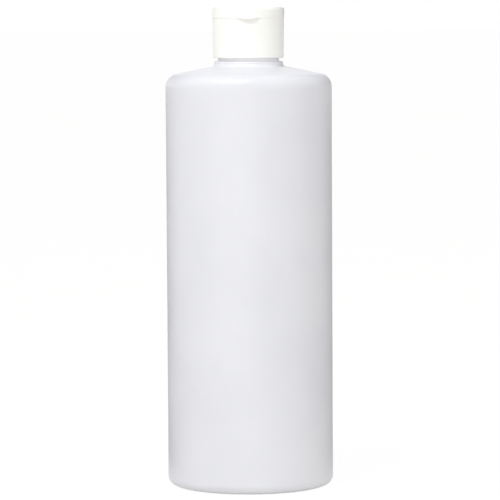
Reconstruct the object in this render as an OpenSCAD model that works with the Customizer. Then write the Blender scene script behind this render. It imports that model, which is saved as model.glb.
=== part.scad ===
// Flip-top bottle: a tall round blow-moulded bottle whose screw closure has a hinged snap lid.
// Millimetres, +Z up. The origin is the centre of the ring that the bottle stands on.
// The lid's thumb lip faces -Y, and its living hinge faces +Y.

/* [Body] */
// Outside diameter of the body
body_d = 63.6; // [54:0.2:90]
// Height from the table to the top of the shoulder
shoulder_z = 160.8; // [110:0.1:240]
// Thickness of the blown wall
wall = 0.9; // [0.6:0.05:1.4]
// Fall of the shoulder from level, in degrees
shoulder_slope = 11.5; // [5:0.5:24]
// Radius where the shoulder turns down into the side
shoulder_r = 5; // [2.5:0.1:8]
// Radius of the heel, where the side turns under
heel_r = 3.2; // [2:0.1:7]
// Width of the flat ring that the bottle stands on
stand_w = 2.6; // [1.5:0.1:5]
// Rise of the hollow under the base
hollow_h = 2.4; // [1:0.1:4]
// Thickness of the base, which is heavier than the side
base_wall = 1.4; // [1:0.1:2.5]
// Length of the pinched seam across the base
seam_len = 34; // [15:1:40]
// Width of the pinched seam
seam_w = 0.7; // [0.4:0.1:1.5]
// Height of the pinched seam
seam_h = 0.35; // [0.2:0.05:0.8]

/* [Neck] */
// Diameter over the neck's thread
thread_d = 23.9; // [22.5:0.1:26]
// Depth of the thread
thread_depth = 1.05; // [0.8:0.05:1.4]
// Rise of the thread in one turn
pitch = 3.175; // [2.6:0.005:3.6]
// Width of a thread at its foot, as a share of that rise
foot_share = 0.6; // [0.5:0.01:0.62]
// Width of a thread at its crest, as a share of that rise
crest_share = 0.25; // [0.15:0.01:0.27]
// Turns of thread on the neck
neck_turns = 1.5; // [1:0.25:2]
// Turns of thread inside the closure
cap_turns = 1.25; // [1:0.25:1.5]
// Diameter of the neck's bore
bore_d = 16.6; // [13:0.1:18.4]
// Height of the neck, from the shoulder to the lip
finish_h = 16.4; // [14.5:0.1:20]
// How far the step at the neck's foot stands out past the thread
step_w = 1.2; // [0.8:0.1:3]
// Height of that step
step_h = 1.8; // [1:0.1:3]
// How far the plain bead above the step lies inside the thread's crest
bead_inset = 0.2; // [0.1:0.05:0.5]
// Height of the plain bead
bead_h = 3; // [2:0.1:4]

/* [Closure] */
// Gap between the neck's thread and the closure's wall, on the radius
thread_gap = 0.25; // [0.15:0.05:0.4]
// Thickness of the closure's side at the parting line
skirt_wall = 1.45; // [1.4:0.05:2.4]
// How far the closure's side draws in towards its foot
skirt_taper = 0.2; // [0:0.05:0.3]
// Gap between the closure's foot and the neck's step
foot_gap = 1.3; // [0.8:0.1:2.5]
// Thickness of the deck
deck_t = 1; // [0.8:0.1:2]
// Thickness of the liner ring
liner_t = 0.8; // [0.5:0.1:1.5]
// Height of the lid
lid_h = 4.3; // [4.2:0.1:8]
// How far the lid stands out past the base
lid_over = 0.1; // [0:0.05:0.6]
// Thickness of the lid's top
lid_top = 1.1; // [0.8:0.1:1.5]
// Radius of the lid's top edge
lid_edge_r = 1.2; // [0.3:0.1:1.3]
// Width of the ledge that the lid closes on
ledge_w = 0.95; // [0.95:0.05:1.3]
// Height of the ring that the lid snaps over
snap_h = 0.9; // [0.5:0.1:1.5]
// Thickness of that ring
snap_wall = 1; // [0.7:0.1:1.5]
// Gap between that ring and the lid, on the radius
snap_gap = 0.2; // [0.1:0.05:0.3]
// Diameter of the spout at its top
spout_d = 5.8; // [5:0.1:8]
// Diameter of the spout at the deck
spout_foot_d = 8.4; // [7:0.1:11]
// Diameter of the hole that pours
orifice_d = 3.2; // [2.8:0.1:4]
// Straight length of that hole
orifice_len = 1.5; // [1:0.1:2]
// Space between the spout and the lid's top
spout_gap = 0.6; // [0.3:0.1:1]
// How far the lid's plug enters the hole
plug_depth = 1; // [0.5:0.1:1.2]

/* [Thumb lip and hinge] */
// Radius of the lip's front
lip_r = 7.6; // [5:0.1:9]
// How far the lip stands out in front of the lid
lip_reach = 0.9; // [0.5:0.1:1.6]
// Height of the lip's slope up the lid
lip_h = 2.6; // [1.5:0.1:3.2]
// How far the lip dips below the parting line
lip_dip = 0.25; // [0.2:0.05:0.7]
// Half the width of that dip
lip_dip_w = 2.55; // [2.2:0.05:4.4]
// Depth of the finger scoop under the lip
scoop_depth = 1; // [0.5:0.05:1]
// Height of the finger scoop
scoop_h = 1.8; // [1.2:0.1:3]
// Depth of the hinge pocket, measured in from the base's side
pocket_depth = 0.6; // [0.4:0.05:0.6]
// Height of the pocket below the parting line
pocket_low = 3; // [2.4:0.1:5]
// Height of the pocket above the parting line
pocket_high = 2.4; // [2.4:0.1:3]
// Thickness of the hinge's films
film_t = 0.3; // [0.2:0.05:0.5]
// Inside radius of a film's fold
film_r = 0.25; // [0.15:0.05:0.4]
// Width of each film
film_w = 1.6; // [1:0.1:1.8]
// Width of the snap strap between the films
strap_w = 2.6; // [1.5:0.1:2.8]
// Half the height of the snap strap
strap_reach = 2.2; // [1.6:0.1:2.3]
// Thickness of the snap strap
strap_t = 0.45; // [0.3:0.05:0.5]
// Gap between the strap and each film
strap_gap = 0.5; // [0.3:0.1:0.6]

/* [Hidden] */
$fn = 96;

// How far one shape reaches into the next where they are joined
bite = 0.4;
// Small chamfer on moulded edges
chamfer = 0.2;
// Rounding of the neck's lip and of the step
edge_r = 0.4;
// Straight steps in one turn of a thread
thread_steps = 48;
// Share of a turn over which a thread fades out at each end
fade_turn = 0.12;
// Space that the closure's thread keeps under the neck's thread
thread_play = 0.3;
// Gap around the liner ring, on the radius
liner_gap = 0.3;

body_r = body_d / 2;
thread_r = thread_d / 2;
root_r = thread_r - thread_depth;
bead_r = thread_r - bead_inset;
collar_r = thread_r + step_w;
bore_r = bore_d / 2;

hollow_r = body_r - heel_r - stand_w;
dome_r = (hollow_r * hollow_r + hollow_h * hollow_h) / (2 * hollow_h);
shoulder_turn_z = shoulder_z - tan(shoulder_slope) * (body_r - shoulder_r - collar_r)
                  - shoulder_r / cos(shoulder_slope);
collar_z = shoulder_z + step_h;
lip_z = shoulder_z + finish_h;
thread_low_z = lip_z - 1.5 - neck_turns * pitch;

cap_bore_r = thread_r + thread_gap;
cap_crest_r = root_r + thread_gap;
cap_r = cap_bore_r + skirt_wall;
cap_foot_r = cap_r - skirt_taper;
deck_z = lip_z + liner_t;
parting_z = deck_z + deck_t;
foot_z = collar_z + foot_gap;
cap_thread_low_z = thread_low_z - pitch / 2 + thread_play;

top_z = parting_z + lid_h;
lid_r = cap_r + lid_over;
lid_bore_r = cap_r - ledge_w;
snap_r = lid_bore_r - snap_gap;
spout_top_z = top_z - lid_top - spout_gap;
orifice_r = orifice_d / 2;
pocket_y = cap_r - pocket_depth;
film_x = strap_w / 2 + strap_gap;

// The body's outline, drawn inwards of the outside by inset. Its top carries on to the axis.
module body_outline(inset) {
    side_r = body_r - inset;
    turn_r = shoulder_r - inset;
    heel = max(heel_r - inset, 0.3);
    turn_x = body_r - shoulder_r;
    slope_x = turn_x + turn_r * sin(shoulder_slope);
    slope_z = shoulder_turn_z + turn_r * cos(shoulder_slope);
    union() {
        polygon([
            [0, inset], [side_r - heel, inset], [side_r, inset + heel], [side_r, shoulder_turn_z],
            [slope_x, slope_z], [0, slope_z + slope_x * tan(shoulder_slope)]
        ]);
        translate([side_r - heel, inset + heel]) circle(heel);
        translate([turn_x, shoulder_turn_z]) circle(turn_r);
    }
}

// The hollow under the base, drawn outwards of the outside by inset.
module dome_outline(inset) {
    translate([0, hollow_h - dome_r]) circle(dome_r + inset);
}

// The neck's outline, from inside the shoulder up to its rounded lip.
module neck_outline() {
    foot = shoulder_z - 3 * wall;
    union() {
        polygon([
            [0, foot], [collar_r, foot], [collar_r, collar_z - edge_r], [collar_r - edge_r, collar_z],
            [bead_r, collar_z], [bead_r, collar_z + bead_h - (bead_r - root_r)], [root_r, collar_z + bead_h],
            [root_r, lip_z - edge_r], [root_r - edge_r, lip_z], [0, lip_z]
        ]);
        translate([root_r - edge_r, lip_z - edge_r]) circle(edge_r);
        translate([collar_r - edge_r, collar_z - edge_r]) circle(edge_r);
    }
}

// The concave blend where the step meets the shoulder.
module collar_blend() {
    blend_r = 0.8 * (step_h - edge_r);
    centre_x = collar_r + blend_r;
    centre_z = shoulder_z - tan(shoulder_slope) * blend_r + blend_r / cos(shoulder_slope);
    touch_x = centre_x - blend_r * sin(shoulder_slope);
    touch_z = centre_z - blend_r * cos(shoulder_slope);
    difference() {
        polygon([
            [collar_r - bite, shoulder_z - 2 * wall], [touch_x, shoulder_z - 2 * wall], [touch_x, touch_z],
            [collar_r, centre_z], [collar_r - bite, centre_z]
        ]);
        translate([centre_x, centre_z]) circle(blend_r);
    }
}

// A screw thread: a ridge that climbs anticlockwise, with its foot sunk a little into its wall.
// wall_r is that wall's radius, and tip_r the crest's, which lies inside it or outside it.
module thread_ridge(wall_r, tip_r, low_z, turns) {
    out = tip_r > wall_r ? 1 : -1;
    steps = ceil(turns * thread_steps);
    fade = fade_turn * thread_steps;
    half_foot = foot_share * pitch / 2;
    half_crest = crest_share * pitch / 2;
    sunk_r = wall_r - out * bite / 2;
    faded_r = wall_r - out * bite / 4;
    function share(i) = min(1, i / fade, (steps - i) / fade);
    function section(i) =
        let (
            turn = 360 * turns * i / steps,
            mid_z = low_z + pitch * turns * i / steps,
            crest_r = faded_r + (tip_r - faded_r) * share(i),
            corners = [[sunk_r, -half_foot], [crest_r, -half_crest], [crest_r, half_crest], [sunk_r, half_foot]]
        )
        [for (c = corners) [c.x * cos(turn), c.x * sin(turn), mid_z + c.y]];
    sides = [for (i = [0:steps - 1], j = [0:3])
        let (a = 4 * i + j, b = 4 * i + (j + 1) % 4)
        each [[b, a + 4, a], [b + 4, a + 4, b]]];
    last = 4 * steps;
    ends = [[2, 1, 0], [3, 2, 0], [last, last + 1, last + 2], [last, last + 2, last + 3]];
    faces = [for (f = concat(sides, ends)) out > 0 ? f : [f[2], f[1], f[0]]];
    polyhedron(points = [for (i = [0:steps]) each section(i)], faces = faces);
}

// The blown bottle: a thin shell with a heavier base, a hollow under it and a threaded neck.
module bottle() {
    color([0.93, 0.94, 0.96]) {
        rotate_extrude()
            difference() {
                union() {
                    body_outline(0);
                    neck_outline();
                    collar_blend();
                }
                dome_outline(0);
                difference() {
                    body_outline(wall);
                    dome_outline(base_wall);
                }
                translate([0, shoulder_z / 2]) square([bore_r, shoulder_z]);
            }
        thread_ridge(root_r, thread_r, thread_low_z, neck_turns);
        base_seam();
    }
}

// The seam that the mould pinches across the hollow of the base.
module base_seam() {
    translate([0, 0, hollow_h - dome_r])
        difference() {
            intersection() {
                translate([-seam_len / 2, -seam_w / 2, 0]) cube([seam_len, seam_w, dome_r + base_wall]);
                sphere(dome_r + base_wall / 2);
            }
            sphere(dome_r - seam_h);
        }
}

// A soft foam ring that seals the closure on the neck's lip.
module liner_ring() {
    color([0.9, 0.9, 0.88])
        translate([0, 0, lip_z])
            difference() {
                cylinder(r = cap_bore_r - liner_gap, h = liner_t);
                translate([0, 0, -1]) cylinder(r = bore_r - liner_gap, h = liner_t + 2);
            }
}

// The closure's base: threaded skirt, deck, snap ring and spout, with a scoop and a hinge pocket.
module closure_base() {
    spout_r = spout_d / 2;
    spout_foot_r = spout_foot_d / 2;
    color([0.97, 0.97, 0.96])
        difference() {
            union() {
                rotate_extrude() polygon([
                    [cap_bore_r + 2 * chamfer, foot_z], [cap_foot_r - chamfer, foot_z],
                    [cap_foot_r, foot_z + chamfer], [cap_r, parting_z - chamfer],
                    [cap_r - chamfer, parting_z], [snap_r, parting_z],
                    [snap_r, parting_z + snap_h - chamfer], [snap_r - chamfer, parting_z + snap_h],
                    [snap_r - snap_wall, parting_z + snap_h], [snap_r - snap_wall, parting_z],
                    [spout_foot_r, parting_z], [spout_r + chamfer, spout_top_z - chamfer],
                    [spout_r, spout_top_z], [orifice_r, spout_top_z],
                    [orifice_r, spout_top_z - orifice_len], [spout_foot_r - deck_t, deck_z],
                    [cap_bore_r, deck_z], [cap_bore_r, foot_z + 2 * chamfer]
                ]);
                thread_ridge(cap_bore_r, cap_crest_r, cap_thread_low_z, cap_turns);
            }
            finger_scoop();
            hinge_pocket(-pocket_low);
        }
}

// The hollow under the thumb lip: a level bar cut across the round side.
module finger_scoop() {
    bar_r = (scoop_h * scoop_h + scoop_depth * scoop_depth) / (2 * scoop_depth);
    translate([0, scoop_depth - cap_r - bar_r, parting_z])
        rotate([0, 90, 0])
            cylinder(r = bar_r, h = 2 * lip_r, center = true);
}

// The flat pocket behind the closure, from the parting line down or up to reach, with a sloped end.
module hinge_pocket(reach) {
    deep = lid_r - pocket_y + 1;
    away = sign(reach);
    translate([0, 0, parting_z])
        rotate([90, 0, 90])
            linear_extrude(2 * cap_r, center = true)
                polygon([
                    [pocket_y, -away], [pocket_y + deep, -away],
                    [pocket_y + deep, reach + away * deep], [pocket_y, reach]
                ]);
}

// The living hinge: a folded film on each side of a bowed strap that snaps the lid open and shut.
module living_hinge() {
    color([0.97, 0.97, 0.96])
        translate([0, pocket_y, parting_z])
            rotate([0, 90, 0]) {
                for (side = [-1, 1]) translate([0, 0, side * (film_x + film_w / 2)]) hinge_film();
                snap_strap();
            }
}

module hinge_film() {
    linear_extrude(film_w, center = true)
        difference() {
            circle(film_r + film_t);
            circle(film_r);
            translate([-body_r, -2 * body_r]) square(2 * body_r);
        }
}

module snap_strap() {
    bow = film_r + film_t;
    bow_r = (strap_reach * strap_reach + bow * bow) / (2 * bow);
    linear_extrude(strap_w, center = true)
        difference() {
            translate([0, bow - bow_r]) circle(bow_r);
            translate([0, bow - bow_r]) circle(bow_r - strap_t);
            translate([-body_r, -2 * body_r]) square(2 * body_r);
        }
}

// The lid: a shallow cap with a plug for the spout, a thumb lip in front and a hinge pocket behind.
module lid() {
    inner_top_z = top_z - lid_top;
    color([0.98, 0.98, 0.97])
        difference() {
            union() {
                rotate_extrude() union() {
                    polygon([
                        [0, inner_top_z], [lid_bore_r, inner_top_z], [lid_bore_r, parting_z],
                        [lid_r - chamfer, parting_z], [lid_r, parting_z + chamfer],
                        [lid_r, top_z - lid_edge_r], [lid_r - lid_edge_r, top_z], [0, top_z]
                    ]);
                    translate([lid_r - lid_edge_r, top_z - lid_edge_r]) circle(lid_edge_r);
                }
                spout_plug();
                thumb_lip();
            }
            hinge_pocket(pocket_high);
        }
}

// The hollow plug that closes the spout's hole, tapered so that it swings in and out.
module spout_plug() {
    low_z = spout_top_z - plug_depth;
    tip_r = orifice_r - 0.5;
    translate([0, 0, low_z])
        difference() {
            cylinder(r1 = tip_r, r2 = orifice_r - 0.1, h = top_z - lid_top / 2 - low_z);
            translate([0, 0, -1]) cylinder(r = tip_r - 0.5, h = 1 + plug_depth);
        }
}

// The crescent that the thumb lifts. Its top slopes back into the lid, and its lower edge bows down.
module thumb_lip() {
    low_z = parting_z - lip_dip;
    bow_r = (lip_dip_w * lip_dip_w + lip_dip * lip_dip) / (2 * lip_dip);
    difference() {
        intersection() {
            translate([0, lip_r - lid_r - lip_reach, low_z])
                cylinder(r1 = lip_r, r2 = lip_r - lip_reach - 0.3, h = lip_h + lip_dip);
            translate([0, 0, low_z + bow_r])
                rotate([90, 0, 0])
                    cylinder(r = bow_r, h = 4 * lid_r, center = true);
        }
        translate([0, 0, low_z - 1]) cylinder(r = (lid_r + lid_bore_r) / 2, h = lip_h + 2);
        translate([-lip_r, scoop_depth / 2 - cap_r, low_z - 1]) cube([2 * lip_r, 2 * lid_r, 1 + lip_dip]);
    }
}

bottle();
liner_ring();
closure_base();
living_hinge();
lid();
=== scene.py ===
"""A tall round bottle of milky polyethylene with a white flip-top closure, on a pale studio floor.

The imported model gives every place. Each visible piece is a finer one that stands for its CAD node.
"""
import math

import bmesh
import bpy
from mathutils import Matrix, Vector


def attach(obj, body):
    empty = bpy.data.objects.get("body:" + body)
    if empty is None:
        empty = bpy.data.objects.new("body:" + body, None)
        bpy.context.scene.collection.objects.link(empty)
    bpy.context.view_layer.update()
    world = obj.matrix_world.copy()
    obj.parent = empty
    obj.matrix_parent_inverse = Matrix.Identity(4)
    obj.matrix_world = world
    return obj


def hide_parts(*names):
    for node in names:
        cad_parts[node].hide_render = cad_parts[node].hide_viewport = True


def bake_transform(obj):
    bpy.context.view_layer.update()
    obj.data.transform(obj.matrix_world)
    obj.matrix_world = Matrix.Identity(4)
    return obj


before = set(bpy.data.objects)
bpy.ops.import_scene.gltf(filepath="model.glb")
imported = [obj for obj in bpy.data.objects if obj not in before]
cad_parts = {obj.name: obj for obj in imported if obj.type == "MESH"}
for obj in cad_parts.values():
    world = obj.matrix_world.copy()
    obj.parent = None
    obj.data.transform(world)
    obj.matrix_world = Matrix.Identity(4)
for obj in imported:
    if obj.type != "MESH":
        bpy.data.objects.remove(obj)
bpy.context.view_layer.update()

MM = 0.001

# Bottle, in millimetres
BODY_R = 31.8
SHOULDER_Z = 160.8
SHOULDER_FALL = math.tan(math.radians(11.5))
SHOULDER_TURN_R = 5.0
WALL = 0.9
HEEL_R = 3.2
HOLLOW_R = 26.0
HOLLOW_H = 2.4
BASE_WALL = 1.4
SEAM_LEN = 34.0
SEAM_W = 0.7
SEAM_H = 0.35
DOME_R = (HOLLOW_R**2 + HOLLOW_H**2) / (2 * HOLLOW_H)
STEP_R = 13.15
STEP_TOP_Z = 162.6
BEAD_R = 11.75
BEAD_H = 2.15
NECK_FOOT_H = 3.0
NECK_R = 10.9
THREAD_R = 11.95
BORE_R = 8.3
LIP_Z = 177.2
PITCH = 3.175
NECK_TURNS = 1.5
THREAD_LOW_Z = LIP_Z - 1.5 - NECK_TURNS * PITCH
SINK = 0.12
SINK_LOW_Z = 6.0
SINK_HIGH_Z = 150.0

# Liner, in millimetres
LINER_R = 11.9
LINER_BORE_R = 8.0

# Closure, in millimetres
DECK_Z = 178.0
PARTING_Z = 179.0
FOOT_Z = 163.9
TOP_Z = 183.3
CAP_BORE_R = 12.2
CAP_CREST_R = 11.15
CAP_R = 13.65
CAP_FOOT_R = 13.45
LID_R = 13.75
LID_BORE_R = 12.7
LID_TOP_T = 1.1
LID_EDGE_R = 1.2
CAP_TURNS = 1.25
SNAP_R = 12.5
SNAP_T = 1.0
SNAP_H = 0.9
SPOUT_FOOT_R = 4.2
SPOUT_TIP_R = 2.9
SPOUT_TOP_Z = 181.6
SPOUT_HOLE_R = 1.6
SPOUT_HOLE_H = 1.5
SPOUT_CUP_R = 3.2
PLUG_R = 1.5
PLUG_TIP_R = 1.1
PLUG_REACH = 1.0
PLUG_PIT_R = 0.6
SCOOP_DEPTH = 1.0
SCOOP_H = 1.8
POCKET_Y = 13.05
POCKET_LOW = 3.0
POCKET_HIGH = 2.4
SIDE_REACH = 5.3
THUMB_LIP_R = 7.6
THUMB_LIP_FOOT_R = 13.4
THUMB_LIP_REACH = 0.9
THUMB_LIP_TAPER = 1.2
THUMB_LIP_H = 2.6
THUMB_LIP_DIP = 0.25
THUMB_LIP_DIP_W = 2.55
THUMB_LIP_DIP_H = 1.2
FILM_BEND_R = 0.25
FILM_T = 0.3
FILM_W = 1.6
FILM_X = 2.6
STRAP_W = 2.6
STRAP_T = 0.45
STRAP_REACH = 2.2

# Camera: its place in metres, its turns in degrees, and its scale in pixels of a 500-pixel picture
CAMERA_PLACE = (0.00017, -1.15, 0.1807)
CAMERA_PITCH = 4.50
CAMERA_ROLL = -0.32
CAMERA_SCALE = 3002


def add(tree, kind, inputs=(), **settings):
    """Adds a node with its settings. An input, by place or by name, is a value, a socket or a node's first output."""
    node = tree.nodes.new(kind)
    for name, value in settings.items():
        setattr(node, name, value)
    for key, value in inputs.items() if isinstance(inputs, dict) else enumerate(inputs):
        if isinstance(value, bpy.types.Node):
            value = value.outputs[0]
        if isinstance(value, bpy.types.NodeSocket):
            tree.links.new(value, node.inputs[key])
        else:
            node.inputs[key].default_value = value
    return node


def linear(colour):
    """An sRGB hex colour as a linear one."""
    channels = [int(colour[i:i + 2], 16) / 255 for i in (1, 3, 5)]
    return [c / 12.92 if c <= 0.04045 else ((c + 0.055) / 1.055) ** 2.4 for c in channels] + [1.0]


# Outlines

def rounded(corners, step=15):
    """A line through corners (r, z, radius) in mm, with an arc of that radius at each and a point close by each end."""
    line = []
    for i, (r, z, radius) in enumerate(corners):
        here = Vector((r, z))
        if radius == 0 or i in (0, len(corners) - 1):
            line.append(here)
            continue
        back = Vector(corners[i - 1][:2]) - here
        ahead = Vector(corners[i + 1][:2]) - here
        back_free, ahead_free = back.length, ahead.length
        back.normalize()
        ahead.normalize()
        half = back.angle(ahead) / 2
        reach = radius / math.tan(half)
        centre = here + (back + ahead).normalized() * radius / math.sin(half)
        first = here + back * reach - centre
        last = here + ahead * reach - centre
        turns = max(2, math.ceil(math.degrees(math.pi - 2 * half) / step))
        margin = 0.1 + radius / 6
        if reach + 2 * margin < back_free:
            line.append(here + back * (reach + margin))
        line.extend(centre + first.slerp(last, k / turns).normalized() * radius for k in range(turns + 1))
        if reach + 2 * margin < ahead_free:
            line.append(here + ahead * (reach + margin))
    return line


def filled(line, low, high, spacing):
    """The line with extra points wherever it runs up or down between low and high, for a form that bends there."""
    points = [line[0]]
    for a, b in zip(line, line[1:]):
        z_low, z_high = sorted((a.y, b.y))
        parts = 1
        if z_high > low and z_low < high:
            parts = max(1, math.ceil((z_high - z_low) / spacing))
        points.extend(a.lerp(b, k / parts) for k in range(1, parts + 1))
    return points


def dome(inset, r):
    """Height of the base's hollow at radius r, with inset added to its thickness."""
    return HOLLOW_H - DOME_R + math.sqrt((DOME_R + inset) ** 2 - r**2)


def shoulder(inset, r):
    """Height of the shoulder's slope at radius r, inset below the outside."""
    return SHOULDER_Z + SHOULDER_FALL * (STEP_R - r) - inset * math.hypot(1, SHOULDER_FALL)


def bottle_outline():
    inner_r = BODY_R - WALL
    corners = [(r, dome(0, r), 0) for r in (0, 4, 8, 12, 16, 20, 23, 25)]
    corners += [
        (HOLLOW_R, 0, 0.5), (BODY_R, 0, HEEL_R), (BODY_R, shoulder(0, BODY_R), SHOULDER_TURN_R),
        (STEP_R, SHOULDER_Z, 1.2), (STEP_R, STEP_TOP_Z, 0.4), (BEAD_R, STEP_TOP_Z, 0.25),
        (BEAD_R, STEP_TOP_Z + BEAD_H, 0.3), (NECK_R, STEP_TOP_Z + NECK_FOOT_H, 0.25), (NECK_R, LIP_Z, 0.4),
        (BORE_R, LIP_Z, 0.3), (BORE_R, shoulder(WALL, BORE_R), 0.8),
        (inner_r, shoulder(WALL, inner_r), SHOULDER_TURN_R - WALL),
        (inner_r, dome(BASE_WALL, 30), HEEL_R - WALL),
    ]
    corners += [(r, dome(BASE_WALL, r), 0) for r in (26, 23, 20, 16, 12, 8, 4, 0)]
    return filled(rounded(corners), HEEL_R + 2, shoulder(0, BODY_R) - 8, 7)


def closure_outline():
    corners = [
        (CAP_BORE_R, FOOT_Z + 3, 0), (CAP_BORE_R, FOOT_Z, 0.45), (CAP_FOOT_R, FOOT_Z, 0.35),
        (CAP_R, PARTING_Z, 0.1), (SNAP_R, PARTING_Z, 0.1), (SNAP_R, PARTING_Z + SNAP_H, 0.3),
        (SNAP_R - SNAP_T, PARTING_Z + SNAP_H, 0.3), (SNAP_R - SNAP_T, PARTING_Z, 0.2),
        (SPOUT_FOOT_R, PARTING_Z, 0.6), (SPOUT_TIP_R, SPOUT_TOP_Z, 0.35), (SPOUT_HOLE_R, SPOUT_TOP_Z, 0.3),
        (SPOUT_HOLE_R, SPOUT_TOP_Z - SPOUT_HOLE_H, 0.3), (SPOUT_CUP_R, DECK_Z, 0.3), (CAP_BORE_R, DECK_Z, 0.4),
        (CAP_BORE_R, FOOT_Z + 3, 0),
    ]
    return filled(rounded(corners), PARTING_Z - SIDE_REACH - 0.1, PARTING_Z + 0.1, 0.2)


def lid_outline():
    corners = [
        (0, SPOUT_TOP_Z, 0), (PLUG_PIT_R, SPOUT_TOP_Z, 0), (PLUG_PIT_R, SPOUT_TOP_Z - PLUG_REACH, 0.1),
        (PLUG_TIP_R, SPOUT_TOP_Z - PLUG_REACH, 0.2), (PLUG_R, TOP_Z - LID_TOP_T, 0.25),
        (LID_BORE_R, TOP_Z - LID_TOP_T, 0.5), (LID_BORE_R, PARTING_Z, 0.15),
        (THUMB_LIP_FOOT_R - 0.05, PARTING_Z, 0), (LID_R, PARTING_Z, 0.1), (LID_R, TOP_Z, LID_EDGE_R), (0, TOP_Z, 0),
    ]
    return filled(rounded(corners), PARTING_Z - 1, TOP_Z - LID_EDGE_R - 0.1, 0.2)


def liner_outline():
    corners = [
        (10, LIP_Z, 0), (LINER_R, LIP_Z, 0.12), (LINER_R, DECK_Z, 0.12), (LINER_BORE_R, DECK_Z, 0.12),
        (LINER_BORE_R, LIP_Z, 0.12), (10, LIP_Z, 0),
    ]
    return rounded(corners)


# Node trees for forms that follow a rule

def new_tree(name, sizes):
    """A geometry tree with a geometry input, named inputs given as (name, kind, value), and a geometry output."""
    tree = bpy.data.node_groups.new(name, "GeometryNodeTree")
    tree.interface.new_socket("Geometry", in_out="INPUT", socket_type="NodeSocketGeometry")
    for label, kind, value in sizes:
        socket = tree.interface.new_socket(label, in_out="INPUT", socket_type="NodeSocket" + kind)
        if value is not None:
            socket.default_value = value
    tree.interface.new_socket("Geometry", in_out="OUTPUT", socket_type="NodeSocketGeometry")
    return tree


def end_tree(tree, geometry, material):
    """Ends a tree in plain mesh of one material."""
    real = add(tree, "GeometryNodeRealizeInstances", {"Geometry": geometry})
    add(tree, "NodeGroupOutput", [add(tree, "GeometryNodeSetMaterial", {"Geometry": real, "Material": material})])
    return tree


def turned_form_tree():
    """Turns an outline about Z. Where a thin blown wall cools unevenly it sinks in a little, between two heights."""
    tree = new_tree("Turned form", [
        ("Steps", "Int", 144), ("Sink", "Float", 0.0), ("Sink From", "Float", SINK_LOW_Z * MM),
        ("Sink To", "Float", SINK_HIGH_Z * MM), ("Seed", "Float", 3.0), ("Material", "Material", None),
    ])
    given = add(tree, "NodeGroupInput").outputs
    points = add(tree, "GeometryNodeAttributeDomainSize", [given["Geometry"]])
    columns = add(tree, "ShaderNodeMath", [given["Steps"], 1.0], operation="ADD")
    grid = add(tree, "GeometryNodeMeshGrid", {"Vertices X": columns, "Vertices Y": points})
    index = add(tree, "GeometryNodeInputIndex")
    middle = add(tree, "ShaderNodeMath", [index, 0.5], operation="ADD")
    passed = add(tree, "ShaderNodeMath", [middle, points], operation="DIVIDE")
    column = add(tree, "ShaderNodeMath", [passed], operation="FLOOR")
    step = add(tree, "ShaderNodeMath", [math.tau, given["Steps"]], operation="DIVIDE")
    turn = add(tree, "ShaderNodeMath", [column, step], operation="MULTIPLY")
    place_on_line = add(tree, "ShaderNodeMath", [index, points], operation="MODULO")
    outline = add(tree, "GeometryNodeSampleIndex", {
        "Geometry": given["Geometry"], "Index": place_on_line, "Value": add(tree, "GeometryNodeInputPosition"),
    }, data_type="FLOAT_VECTOR")
    turned = add(tree, "ShaderNodeVectorRotate", {"Vector": outline, "Angle": turn}, rotation_type="Z_AXIS")
    uneven = add(tree, "ShaderNodeTexNoise", {
        "Vector": turned, "W": given["Seed"], "Scale": 24.0, "Detail": 1.0,
    }, noise_dimensions="4D")
    height = add(tree, "ShaderNodeSeparateXYZ", [turned]).outputs["Z"]
    above = add(tree, "ShaderNodeMath", [height, given["Sink From"]], operation="SUBTRACT")
    below = add(tree, "ShaderNodeMath", [given["Sink To"], height], operation="SUBTRACT")
    into_side = add(tree, "ShaderNodeMath", [above, below, 0.005], operation="SMOOTH_MIN")
    share = add(tree, "ShaderNodeMapRange", [into_side, 0.0, 0.02, 0.0, 1.0], interpolation_type="SMOOTHSTEP")
    patchy = add(tree, "ShaderNodeMath", [share, uneven], operation="MULTIPLY")
    depth = add(tree, "ShaderNodeMath", [patchy, given["Sink"]], operation="MULTIPLY")
    level = add(tree, "ShaderNodeVectorMath", [turned, (-1.0, -1.0, 0.0)], operation="MULTIPLY")
    inward = add(tree, "ShaderNodeVectorMath", [level], operation="NORMALIZE")
    sunk = add(tree, "ShaderNodeVectorMath", {0: inward, "Scale": depth}, operation="SCALE")
    placed = add(tree, "GeometryNodeSetPosition", {"Geometry": grid, "Position": turned, "Offset": sunk})
    closed = add(tree, "GeometryNodeMergeByDistance", {"Geometry": placed, "Distance": 2e-6})
    return end_tree(tree, closed, given["Material"])


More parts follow.
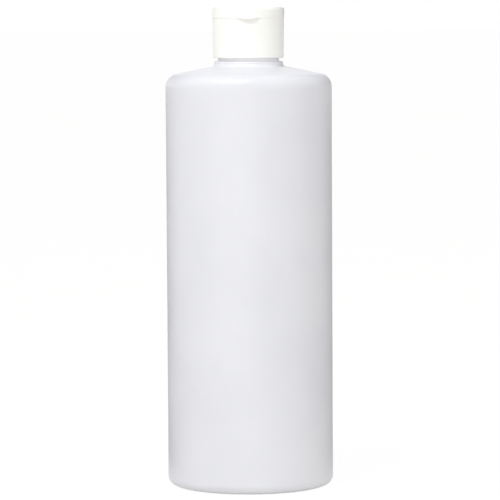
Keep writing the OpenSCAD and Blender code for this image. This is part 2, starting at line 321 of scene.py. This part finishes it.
def screw_thread_tree():
    """Joins a screw thread to a turned form: a ridge that climbs round its wall and fades out at both ends."""
    tree = new_tree("Screw thread", [
        ("Wall Radius", "Float", NECK_R * MM), ("Depth", "Float", 0.001), ("Sunk", "Float", 0.0002),
        ("Inside", "Float", 0.0), ("Pitch", "Float", PITCH * MM), ("Turns", "Float", NECK_TURNS),
        ("Low", "Float", THREAD_LOW_Z * MM), ("Foot Width", "Float", 0.0019), ("Crest Width", "Float", 0.0008),
        ("Material", "Material", None),
    ])
    given = add(tree, "NodeGroupInput").outputs
    climb = add(tree, "ShaderNodeMath", [given["Pitch"], given["Turns"]], operation="MULTIPLY")
    path = add(tree, "GeometryNodeCurveSpiral", {
        "Resolution": 72, "Rotations": given["Turns"], "Start Radius": given["Wall Radius"],
        "End Radius": given["Wall Radius"], "Height": climb, "Reverse": False,
    })
    upright = add(tree, "GeometryNodeSetCurveNormal", {"Curve": path}, mode="Z_UP")
    share = add(tree, "GeometryNodeSplineParameter").outputs["Factor"]
    passed = add(tree, "ShaderNodeMath", [share, given["Turns"]], operation="MULTIPLY")
    left = add(tree, "ShaderNodeMath", [given["Turns"], passed], operation="SUBTRACT")
    nearer = add(tree, "ShaderNodeMath", [passed, left], operation="MINIMUM")
    fade = add(tree, "ShaderNodeMapRange", [nearer, 0.0, 0.12, 0.14, 1.0], interpolation_type="LINEAR")
    fading = add(tree, "GeometryNodeSetCurveRadius", {"Curve": upright, "Radius": fade})
    height = add(tree, "ShaderNodeMath", [given["Depth"], given["Sunk"]], operation="ADD")
    section = add(tree, "GeometryNodeCurvePrimitiveQuadrilateral", {
        "Bottom Width": given["Foot Width"], "Top Width": given["Crest Width"], "Offset": 0.0, "Height": height,
    }, mode="TRAPEZOID")
    half = add(tree, "ShaderNodeMath", [height, 0.5], operation="MULTIPLY")
    lift = add(tree, "ShaderNodeMath", [half, given["Sunk"]], operation="SUBTRACT")
    up = add(tree, "ShaderNodeCombineXYZ", {"Y": lift})
    raised = add(tree, "GeometryNodeTransform", {"Geometry": section, "Translation": up})
    facing = add(tree, "ShaderNodeMath", [given["Inside"], math.pi, -math.pi / 2], operation="MULTIPLY_ADD")
    turn = add(tree, "ShaderNodeCombineXYZ", {"Z": facing})
    profile = add(tree, "GeometryNodeTransform", {"Geometry": raised, "Rotation": turn})
    ridge = add(tree, "GeometryNodeCurveToMesh", {"Curve": fading, "Profile Curve": profile, "Fill Caps": True})
    start = add(tree, "ShaderNodeCombineXYZ", {"Z": given["Low"]})
    climbing = add(tree, "GeometryNodeTransform", {"Geometry": ridge, "Translation": start})
    union = add(tree, "GeometryNodeMeshBoolean", operation="UNION", solver="EXACT")
    tree.links.new(climbing.outputs[0], union.inputs["Mesh 2"])
    tree.links.new(given["Geometry"], union.inputs["Mesh 2"])
    return end_tree(tree, union.outputs["Mesh"], given["Material"])


def strip_tree():
    """Sweeps a flat strip with rounded edges along a line. Its width lies along the given direction."""
    tree = new_tree("Swept strip", [
        ("Width", "Float", 0.002), ("Thickness", "Float", 0.0003), ("Across", "Vector", (1, 0, 0)),
        ("Material", "Material", None),
    ])
    given = add(tree, "NodeGroupInput").outputs
    line = add(tree, "GeometryNodeMeshToCurve", {"Mesh": given["Geometry"]})
    level = add(tree, "GeometryNodeSetCurveNormal", {"Curve": line, "Normal": given["Across"]}, mode="FREE")
    size = {"Width": given["Width"], "Height": given["Thickness"]}
    section = add(tree, "GeometryNodeCurvePrimitiveQuadrilateral", size)
    edge = add(tree, "ShaderNodeMath", [given["Thickness"], 0.35], operation="MULTIPLY")
    soft = add(tree, "GeometryNodeFilletCurve", {"Curve": section, "Radius": edge}, mode="BEZIER")
    strip = add(tree, "GeometryNodeCurveToMesh", {"Curve": level, "Profile Curve": soft, "Fill Caps": True})
    return end_tree(tree, strip, given["Material"])


def line_piece(name, points):
    """A line through points in mm, for a tree to work on."""
    mesh = bpy.data.meshes.new(name)
    links = [(i, i + 1) for i in range(len(points) - 1)]
    mesh.from_pydata([Vector(p) * MM for p in points], links, [])
    piece = bpy.data.objects.new(name, mesh)
    bpy.context.scene.collection.objects.link(piece)
    return piece


def grown(piece, tree, sizes):
    """The piece put through a tree with these sizes, as plain mesh."""
    modifier = piece.modifiers.new(tree.name, "NODES")
    modifier.node_group = tree
    for item in tree.interface.items_tree:
        if item.in_out == "INPUT" and item.name in sizes:
            modifier[item.identifier] = sizes[item.name]
    depsgraph = bpy.context.evaluated_depsgraph_get()
    mesh = bpy.data.meshes.new_from_object(piece.evaluated_get(depsgraph), depsgraph=depsgraph)
    piece.modifiers.clear()
    piece.data = mesh
    return piece


def outward(piece, smooth_below=32):
    """Turns the faces outwards and shades smoothly across edges flatter than the angle."""
    shape = bmesh.new()
    shape.from_mesh(piece.data)
    bmesh.ops.recalc_face_normals(shape, faces=shape.faces)
    shape.to_mesh(piece.data)
    shape.free()
    piece.data.shade_smooth()
    piece.data.set_sharp_from_angle(angle=math.radians(smooth_below))
    return piece


def turned_piece(name, outline, material, steps=144, sink=0.0, form=None):
    """A piece turned from an outline in mm. form moves each point (x, y, z in mm) where the piece isn't round."""
    piece = line_piece(name, [(p.x, 0, p.y) for p in outline])
    grown(piece, TURNED_FORM, {
        "Steps": steps, "Sink": sink * MM, "Sink From": SINK_LOW_Z * MM, "Sink To": SINK_HIGH_Z * MM,
        "Material": material,
    })
    if form:
        for vertex in piece.data.vertices:
            vertex.co = Vector(form(*(vertex.co / MM))) * MM
    return outward(piece)


def threaded(piece, wall_r, inside, turns, low, material):
    """The piece with its screw thread, in mm."""
    grown(piece, SCREW_THREAD, {
        "Wall Radius": wall_r * MM, "Depth": (THREAD_R - NECK_R) * MM, "Sunk": 0.2 * MM, "Inside": inside,
        "Pitch": PITCH * MM, "Turns": turns, "Low": low * MM, "Foot Width": 0.6 * PITCH * MM,
        "Crest Width": 0.25 * PITCH * MM, "Material": material,
    })
    return outward(piece)


def strip_piece(name, points, width, thickness, across, material):
    """A strip along points in mm."""
    piece = line_piece(name, points)
    grown(piece, STRIP, {"Width": width * MM, "Thickness": thickness * MM, "Across": across, "Material": material})
    return outward(piece)


# Forms that aren't round

def soft_max(a, b, width=0.12):
    """The larger of two lengths, with the corner between them rounded over about that width."""
    h = max(width - abs(a - b), 0) / width
    return max(a, b) + h * h * width / 4


def soft_step(value, low, high):
    t = min(max((value - low) / (high - low), 0), 1)
    return t * t * (3 - 2 * t)


def pocket_plane(rise, reach):
    """How far back the hinge pocket leaves the side, at a height above or below the parting line."""
    return POCKET_Y + max(rise - reach, 0)


def closure_form(x, y, z):
    """Presses the finger scoop into the front of the closure's base, and the hinge pocket into its back."""
    if y < -CAP_BORE_R and z > PARTING_Z - SIDE_REACH and abs(x) < THUMB_LIP_R:
        bar_r = (SCOOP_H**2 + SCOOP_DEPTH**2) / (2 * SCOOP_DEPTH)
        fall = min(abs(z - PARTING_Z), bar_r)
        floor_y = SCOOP_DEPTH - CAP_R - bar_r + math.sqrt(bar_r**2 - fall**2)
        # Its edge is crisp at the parting line and softer the lower it goes
        y = soft_max(y, floor_y, 0.25 + 0.4 * fall)
    elif y > CAP_BORE_R and z > PARTING_Z - SIDE_REACH:
        y = -soft_max(-y, -pocket_plane(PARTING_Z - z, POCKET_LOW))
    return x, y, z


def lid_form(x, y, z):
    """Draws the thumb lip out of the front of the lid, and presses the hinge pocket into its back."""
    if y < 0 and abs(x) < 6 and math.hypot(x, y) > THUMB_LIP_FOOT_R and z < TOP_Z - 1:
        bow_r = (THUMB_LIP_DIP_W**2 + THUMB_LIP_DIP**2) / (2 * THUMB_LIP_DIP)
        lower_edge = PARTING_Z - THUMB_LIP_DIP + x * x / (2 * bow_r)
        z -= max(PARTING_Z - lower_edge, 0) * max(1 - (z - PARTING_Z) / THUMB_LIP_DIP_H, 0)
        rise = (z - PARTING_Z + THUMB_LIP_DIP) / (THUMB_LIP_H + THUMB_LIP_DIP)
        front_r = THUMB_LIP_R - THUMB_LIP_TAPER * min(max(rise, 0), 1)
        if abs(x) < front_r:
            front = THUMB_LIP_R - LID_R - THUMB_LIP_REACH - math.sqrt(front_r**2 - x * x)
            share = soft_step(z, lower_edge - 0.12, lower_edge + 0.06)
            y += share * (-soft_max(-y, -front, 0.2) - y)
    elif y > LID_BORE_R and z < TOP_Z - 0.7:
        y = -soft_max(-y, -pocket_plane(z - PARTING_Z, POCKET_HIGH))
    return x, y, z


# Finishes

def finish_of(name, hex_colour, roughness, ior):
    """A new material, its tree and its shader, with a plain colour and gloss to start from."""
    material = bpy.data.materials.new(name)
    material.use_nodes = True
    tree = material.node_tree
    shader = tree.nodes["Principled BSDF"]
    shader.inputs["Base Color"].default_value = linear(hex_colour)
    shader.inputs["Roughness"].default_value = roughness
    shader.inputs["IOR"].default_value = ior
    return material, tree, shader


def relief(tree, shader, *heights):
    """Bumps the surface by the sum of the heights, in metres."""
    total = heights[0]
    for height in heights[1:]:
        total = add(tree, "ShaderNodeMath", [total, height], operation="ADD")
    bump = add(tree, "ShaderNodeBump", {"Strength": 1.0, "Distance": 1.0, "Height": total})
    tree.links.new(bump.outputs[0], shader.inputs["Normal"])


def blown_polyethylene():
    """Natural polyethylene, blow-moulded: milky, satin, with soft lines drawn down it and a parting line."""
    material, tree, shader = finish_of("natural_polyethylene_blown", "#EBECF1", 0.38, 1.54)
    place = add(tree, "ShaderNodeTexCoord").outputs["Object"]
    split = add(tree, "ShaderNodeSeparateXYZ", [place])
    # A little light passes the body's wall. The neck's wall is two to three times thicker and passes none. Its colour
    # is lighter, partly for the thicker wall and partly as painted light: a painted glow that lightens the neck in the
    # shade under the closure, standing in for light shining through from inside the bottle
    neck_low, neck_high = (STEP_TOP_Z - 0.4) * MM, (STEP_TOP_Z + 0.4) * MM
    thick_neck_and_painted_glow = add(tree, "ShaderNodeMapRange", [split.outputs["Z"], neck_low, neck_high, 0.0, 1.0])
    clear = add(tree, "ShaderNodeMapRange", [split.outputs["Z"], (SHOULDER_Z - 0.8) * MM, neck_high, 0.08, 0.0])
    tree.links.new(clear.outputs[0], shader.inputs["Transmission Weight"])
    # The wall is a little thicker and milkier in patches about 30 mm across
    cloud = add(tree, "ShaderNodeTexNoise", {"Vector": place, "Scale": 33.0, "Detail": 2.0})
    milky = add(tree, "ShaderNodeMapRange", [cloud, 0.3, 0.7, 0.0, 1.0], interpolation_type="SMOOTHSTEP")
    tint = add(tree, "ShaderNodeMix", {0: milky, 6: linear("#E9EAF0"), 7: linear("#EDEEF3")}, data_type="RGBA")
    # Painted glow: the neck's lighter colour partly stands in for light in the shade under the closure
    paler_neck_and_painted_glow = add(tree, "ShaderNodeMix", {0: thick_neck_and_painted_glow, 6: tint.outputs[2], 7: linear("#FAFAFD")}, data_type="RGBA")
    tree.links.new(paler_neck_and_painted_glow.outputs[2], shader.inputs["Base Color"])
    satin = add(tree, "ShaderNodeMapRange", [cloud, 0.3, 0.7, 0.36, 0.42])
    tree.links.new(satin.outputs[0], shader.inputs["Roughness"])
    # The die draws lines down the wall about 2 mm apart, and the blasted mould leaves a grain of 0.6 mm
    drawn = add(tree, "ShaderNodeMapping", {"Vector": place, "Scale": (500, 500, 10)})
    lines = add(tree, "ShaderNodeTexNoise", {"Vector": drawn, "Scale": 1.0, "Detail": 2.0})
    line_height = add(tree, "ShaderNodeMath", [lines, 0.000012], operation="MULTIPLY")
    grain = add(tree, "ShaderNodeTexNoise", {"Vector": place, "Scale": 1700.0, "Detail": 1.0})
    grain_height = add(tree, "ShaderNodeMath", [grain, 0.000004], operation="MULTIPLY")
    # The parting line runs up both sides, where the two halves of the mould met
    across = add(tree, "ShaderNodeMath", [split.outputs["Y"]], operation="ABSOLUTE")
    parting = add(tree, "ShaderNodeMapRange", [
        across, 0.00008, 0.0003, 0.00005, 0.0,
    ], interpolation_type="SMOOTHSTEP")
    relief(tree, shader, line_height, grain_height, parting)
    return material


def moulded_polypropylene():
    """White polypropylene, injection-moulded in a polished mould: an even, smooth gloss."""
    material, tree, shader = finish_of("white_polypropylene_moulded", "#FAFAF6", 0.31, 1.49)
    place = add(tree, "ShaderNodeTexCoord").outputs["Object"]
    flow = add(tree, "ShaderNodeTexNoise", {"Vector": place, "Scale": 200.0, "Detail": 2.0})
    gloss = add(tree, "ShaderNodeMapRange", [flow, 0.3, 0.7, 0.285, 0.345])
    tree.links.new(gloss.outputs[0], shader.inputs["Roughness"])
    # The skin ripples by a few thousandths of a millimetre over 4 mm
    ripple = add(tree, "ShaderNodeTexNoise", {"Vector": place, "Scale": 250.0, "Detail": 0.0})
    relief(tree, shader, add(tree, "ShaderNodeMath", [ripple, 0.000008], operation="MULTIPLY"))
    return material


def cut_foam():
    """Polyethylene foam, die-cut: soft and matt, with closed cells about 0.5 mm across."""
    material, tree, shader = finish_of("polyethylene_foam_cut", "#E4E4E0", 0.85, 1.5)
    place = add(tree, "ShaderNodeTexCoord").outputs["Object"]
    cells = add(tree, "ShaderNodeTexVoronoi", {"Vector": place, "Scale": 2000.0})
    relief(tree, shader, add(tree, "ShaderNodeMath", [cells, 0.00008], operation="MULTIPLY"))
    shade = add(tree, "ShaderNodeMix", {0: cells, 6: linear("#DCDCD8"), 7: linear("#E8E8E4")}, data_type="RGBA")
    tree.links.new(shade.outputs[2], shader.inputs["Base Color"])
    return material


# Pieces

TURNED_FORM = turned_form_tree()
SCREW_THREAD = screw_thread_tree()
STRIP = strip_tree()
polyethylene = blown_polyethylene()
polypropylene = moulded_polypropylene()
foam = cut_foam()


def carry(piece, body, node):
    """Puts a piece on its body, in place of its node."""
    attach(piece, body)
    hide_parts(node)


def bottle_pieces():
    shell = turned_piece("bottle_shell", bottle_outline(), polyethylene, steps=144, sink=SINK)
    threaded(shell, NECK_R, 0.0, NECK_TURNS, THREAD_LOW_Z, polyethylene)
    carry(shell, "bottle", "bottle")
    # The mould pinches the blown tube shut across the hollow of the base
    reach = [SEAM_LEN * (k / 34 - 0.5) for k in range(35)]
    line = [(x, 0, dome(0, x)) for x in reach]
    seam = strip_piece("base_seam", line, SEAM_W, 2 * SEAM_H, (0, 1, 0), polyethylene)
    carry(seam, "bottle", "bottle")


def closure_piece():
    skirt = turned_piece("closure_skirt", closure_outline(), polypropylene, steps=240, form=closure_form)
    # Its ridge runs midway between two turns of the neck's
    threaded(skirt, CAP_BORE_R, 1.0, CAP_TURNS, THREAD_LOW_Z - PITCH / 2 + 0.3, polypropylene)
    carry(skirt, "cap", "closure_base")


def lid_piece():
    lid = turned_piece("flip_lid", lid_outline(), polypropylene, steps=240, form=lid_form)
    carry(lid, "lid", "lid")


def liner_piece():
    ring = turned_piece("foam_liner", liner_outline(), foam, steps=96)
    carry(ring, "liner", "liner_ring")


def hinge_pieces():
    """Two thin folded films, and a bowed strap between them that snaps the lid open and shut."""
    fold_r = FILM_BEND_R + FILM_T / 2
    half_turn = [math.pi * k / 16 for k in range(17)]
    fold = [(POCKET_Y + fold_r * math.sin(a), PARTING_Z - fold_r * math.cos(a)) for a in half_turn]
    films = (("hinge_film_left", -FILM_X), ("hinge_film_right", FILM_X))
    strips = [(name, [(x, y, z) for y, z in fold], FILM_W, FILM_T) for name, x in films]
    bow = FILM_BEND_R + FILM_T
    bow_r = (STRAP_REACH**2 + bow**2) / (2 * bow) - STRAP_T / 2
    centre_y = POCKET_Y + bow - STRAP_T / 2 - bow_r
    reach = math.acos((POCKET_Y + 0.02 - centre_y) / bow_r)
    turns = [reach * (k / 12 - 1) for k in range(25)]
    arc = [(0, centre_y + bow_r * math.cos(a), PARTING_Z + bow_r * math.sin(a)) for a in turns]
    strips.append(("snap_strap", arc, STRAP_W, STRAP_T))
    for name, points, width, thickness in strips:
        strip = strip_piece(name, points, width, thickness, (1, 0, 0), polypropylene)
        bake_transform(strip)
        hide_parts("living_hinge")


# Studio

def aimed(location, target):
    """A place and a turn that face the target."""
    way = Vector(target) - Vector(location)
    return Matrix.Translation(location) @ way.to_track_quat("-Z", "Y").to_matrix().to_4x4()


def lamp(name, azimuth, elevation, distance, size, power):
    """A soft rectangular lamp round the object. Azimuth 0 is the camera's side, and 90 is its right."""
    light = bpy.data.lights.new(name, "AREA")
    light.shape = "RECTANGLE"
    light.size, light.size_y = size
    light.energy = power
    a, e = math.radians(azimuth), math.radians(elevation)
    place = Vector((math.sin(a) * math.cos(e), -math.cos(a) * math.cos(e), math.sin(e))) * distance
    holder = bpy.data.objects.new(name, light)
    holder.matrix_world = aimed(place + Vector((0, 0, 0.1)), (0, 0, 0.1))
    bpy.context.scene.collection.objects.link(holder)
    holder.visible_camera = False


def stage_card(name, corners, material):
    """A flat card in the studio, through four corners in metres."""
    mesh = bpy.data.meshes.new(name)
    mesh.from_pydata(corners, [], [(0, 1, 2, 3)])
    mesh.materials.append(material)
    card = bpy.data.objects.new(name, mesh)
    bpy.context.scene.collection.objects.link(card)
    return card


def floor():
    """A pale paper floor that shows white to the camera and keeps a soft shadow."""
    material, tree, shader = finish_of("pale_paper_floor", "#E1DFDB", 0.9, 1.45)
    shader.inputs["Specular IOR Level"].default_value = 0.0
    material.cycles.emission_sampling = "NONE"
    white = add(tree, "ShaderNodeEmission", {"Color": (1, 1, 1, 1), "Strength": 1.05})
    rays = add(tree, "ShaderNodeLightPath").outputs
    mirrored = add(tree, "ShaderNodeMath", [rays["Is Glossy Ray"], rays["Is Transmission Ray"]], operation="MAXIMUM")
    by_eye = add(tree, "ShaderNodeMath", [rays["Is Camera Ray"], mirrored], operation="MAXIMUM")
    share = add(tree, "ShaderNodeMath", [by_eye, 0.9], operation="MULTIPLY")
    mixed = add(tree, "ShaderNodeMixShader", [share, shader, white])
    tree.links.new(mixed.outputs[0], tree.nodes["Material Output"].inputs["Surface"])
    z = -0.0001
    stage_card("studio_floor", [(-30, -30, z), (30, -30, z), (30, 30, z), (-30, 30, z)], material)


def backdrop():
    """White wherever the camera looks. In reflections it is white behind the object and dimmer on the camera's side."""
    world = bpy.data.worlds.new("studio")
    bpy.context.scene.world = world
    world.use_nodes = True
    tree = world.node_tree
    way = add(tree, "ShaderNodeTexCoord").outputs["Generated"]
    depth = add(tree, "ShaderNodeSeparateXYZ", [way]).outputs["Y"]
    rays = add(tree, "ShaderNodeLightPath").outputs
    behind = add(tree, "ShaderNodeMapRange", [depth, -0.3, 0.6, 0.5, 1.0], interpolation_type="SMOOTHSTEP")
    clear = add(tree, "ShaderNodeMath", [rays["Is Glossy Ray"], rays["Is Transmission Ray"]], operation="MAXIMUM")
    soft = add(tree, "ShaderNodeMix", {0: clear, 2: 0.6, 3: behind})
    level = add(tree, "ShaderNodeMix", {0: rays["Is Camera Ray"], 2: soft, 3: 1.0})
    tree.links.new(level.outputs[0], tree.nodes["Background"].inputs["Strength"])
    tree.nodes["Background"].inputs["Color"].default_value = (1, 1, 1, 1)


def flag(name, corners, material):
    """A card that shows in reflections only."""
    card = stage_card(name, corners, material)
    card.visible_camera = False
    card.visible_diffuse = False
    card.visible_shadow = False


def flags():
    """Grey cards that lie and stand beside and behind the object, and draw its pale edges against the white."""
    grey = finish_of("grey_card", "#505050", 0.9, 1.45)[0]
    sides = (("left", -1, ((0, 0.14), (0.26, 0.6))), ("right", 1, ((0, 0.14), (0.17, 0.6))))
    for name, side, spans in sides:
        near, far = (side * 0.10, 0.45), (side * 0.42, 0.25)
        flag("flag_lying_" + name, [(*near, 0), (*far, 0), (side * 0.42, -0.1, 0), (side * 0.05, 0.02, 0)], grey)
        for low, high in spans:
            flag("flag_standing_" + name, [(*near, low), (*far, low), (*far, high), (*near, high)], grey)


def camera():
    """The photograph's view: level with the lid, from a little over a metre, on a long lens."""
    data = bpy.data.cameras.new("camera")
    data.sensor_width = 36
    data.lens = CAMERA_SCALE * 36 / 500
    data.clip_start, data.clip_end = 0.05, 100
    holder = bpy.data.objects.new("camera", data)
    pitch = Matrix.Rotation(math.radians(90 - CAMERA_PITCH), 4, "X")
    roll = Matrix.Rotation(math.radians(CAMERA_ROLL), 4, "Z")
    holder.matrix_world = Matrix.Translation(CAMERA_PLACE) @ pitch @ roll
    bpy.context.scene.collection.objects.link(holder)
    bpy.context.scene.camera = holder


bottle_pieces()
closure_piece()
lid_piece()
liner_piece()
hinge_pieces()
floor()
backdrop()
flags()
lamp("softbox", -24, 24, 1.4, (2.2, 1.5), 1.8)
lamp("low_front", -18, 3, 1.5, (1.8, 0.3), 3.9)
lamp("overhead", -36, 61, 0.9, (0.3, 0.3), 3.3)
lamp("fill", 62, 16, 1.6, (1.2, 1.2), 3.6)
camera()

bpy.context.scene.view_settings.view_transform = "Standard"
